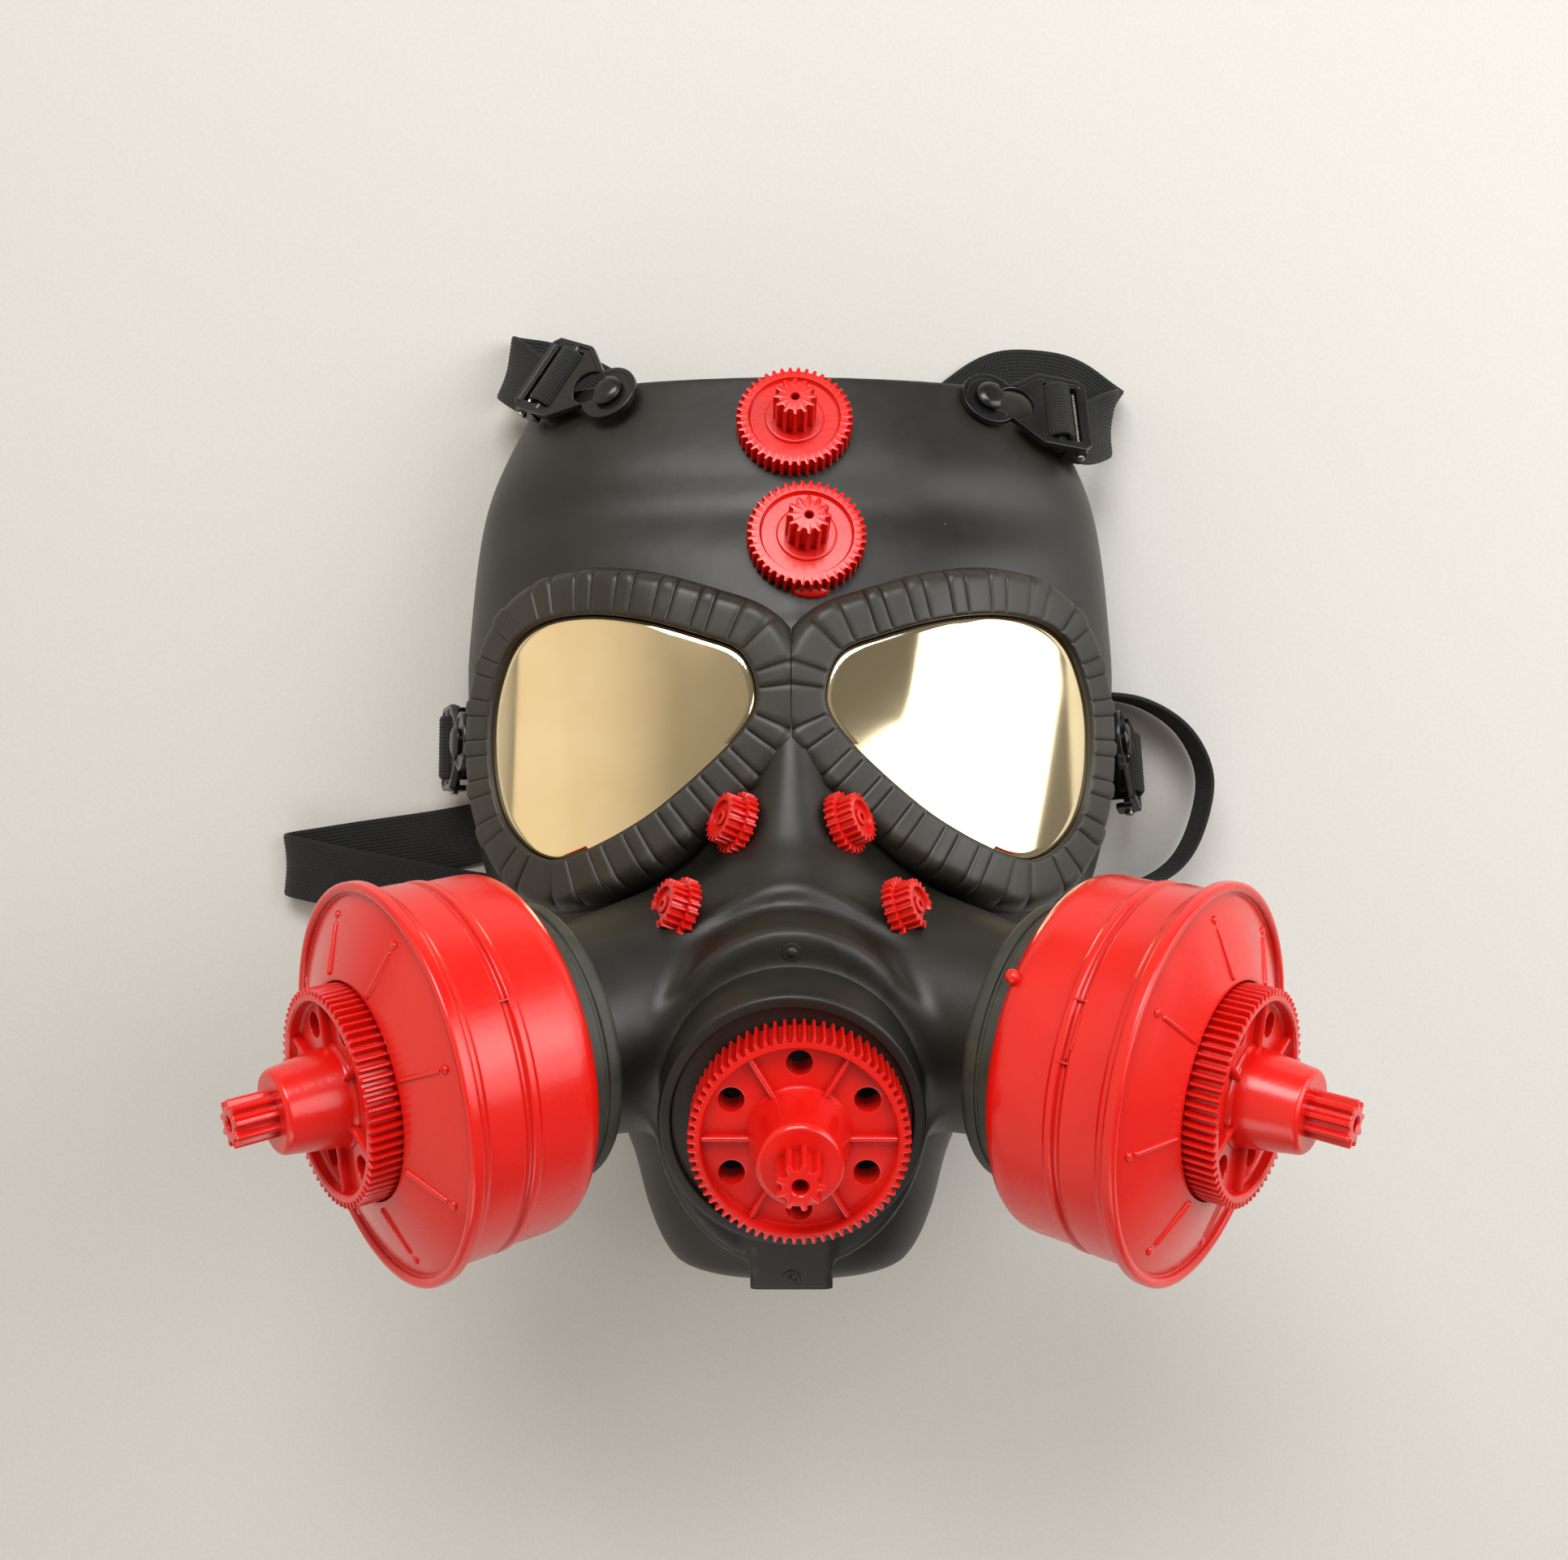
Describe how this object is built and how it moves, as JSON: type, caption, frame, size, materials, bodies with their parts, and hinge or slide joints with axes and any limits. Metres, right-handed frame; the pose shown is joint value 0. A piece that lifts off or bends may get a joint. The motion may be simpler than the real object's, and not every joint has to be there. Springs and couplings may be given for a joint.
{
  "type": "gas mask style costume mask",
  "caption": "hollow moulded mask shaped like a gas mask, with mirror lenses, drum canisters, glued-on toothed wheels and elastic straps",
  "frame": {"origin": "middle of the bounding box, at the level of the surface that the rim rests on", "axes": "+Z out of the face and up, +Y towards the forehead, +X towards the right side of the picture"},
  "size_m": [0.2846, 0.2714, 0.1748],
  "materials": {
    "face_plastic": "satin",
    "frame_plastic": "satin",
    "lens_mirror": "polished gold",
    "red_paint": "gloss",
    "buckle_plastic": "gloss",
    "pin_steel": "bright",
    "strap_webbing": "ribbed"
  },
  "bodies": {
    "root": {"brow_wheel_lower": "red_paint", "brow_wheel_upper": "red_paint", "buckle_brow_left": "buckle_plastic", "buckle_brow_right": "buckle_plastic", "buckle_side_left": "buckle_plastic", "buckle_side_right": "buckle_plastic", "canister_left": "red_paint", "canister_right": "red_paint", "canister_wheel_left": "red_paint", "canister_wheel_right": "red_paint", "eye_frame_left": "frame_plastic", "eye_frame_right": "frame_plastic", "face_shell": "face_plastic", "filter_mount_left": "face_plastic", "filter_mount_right": "face_plastic", "lens_left": "lens_mirror", "lens_right": "lens_mirror", "nose_wheel_lower_left": "red_paint", "nose_wheel_lower_right": "red_paint", "nose_wheel_upper_left": "red_paint", "nose_wheel_upper_right": "red_paint", "peg_brow_left": "buckle_plastic", "peg_brow_right": "buckle_plastic", "peg_side_left": "buckle_plastic", "peg_side_right": "buckle_plastic", "pin_brow_left": "pin_steel", "pin_brow_right": "pin_steel", "pin_side_left": "pin_steel", "pin_side_right": "pin_steel", "snout_wheel": "red_paint", "strap_brow": "strap_webbing", "strap_side": "strap_webbing"}
  },
  "joints": []
}
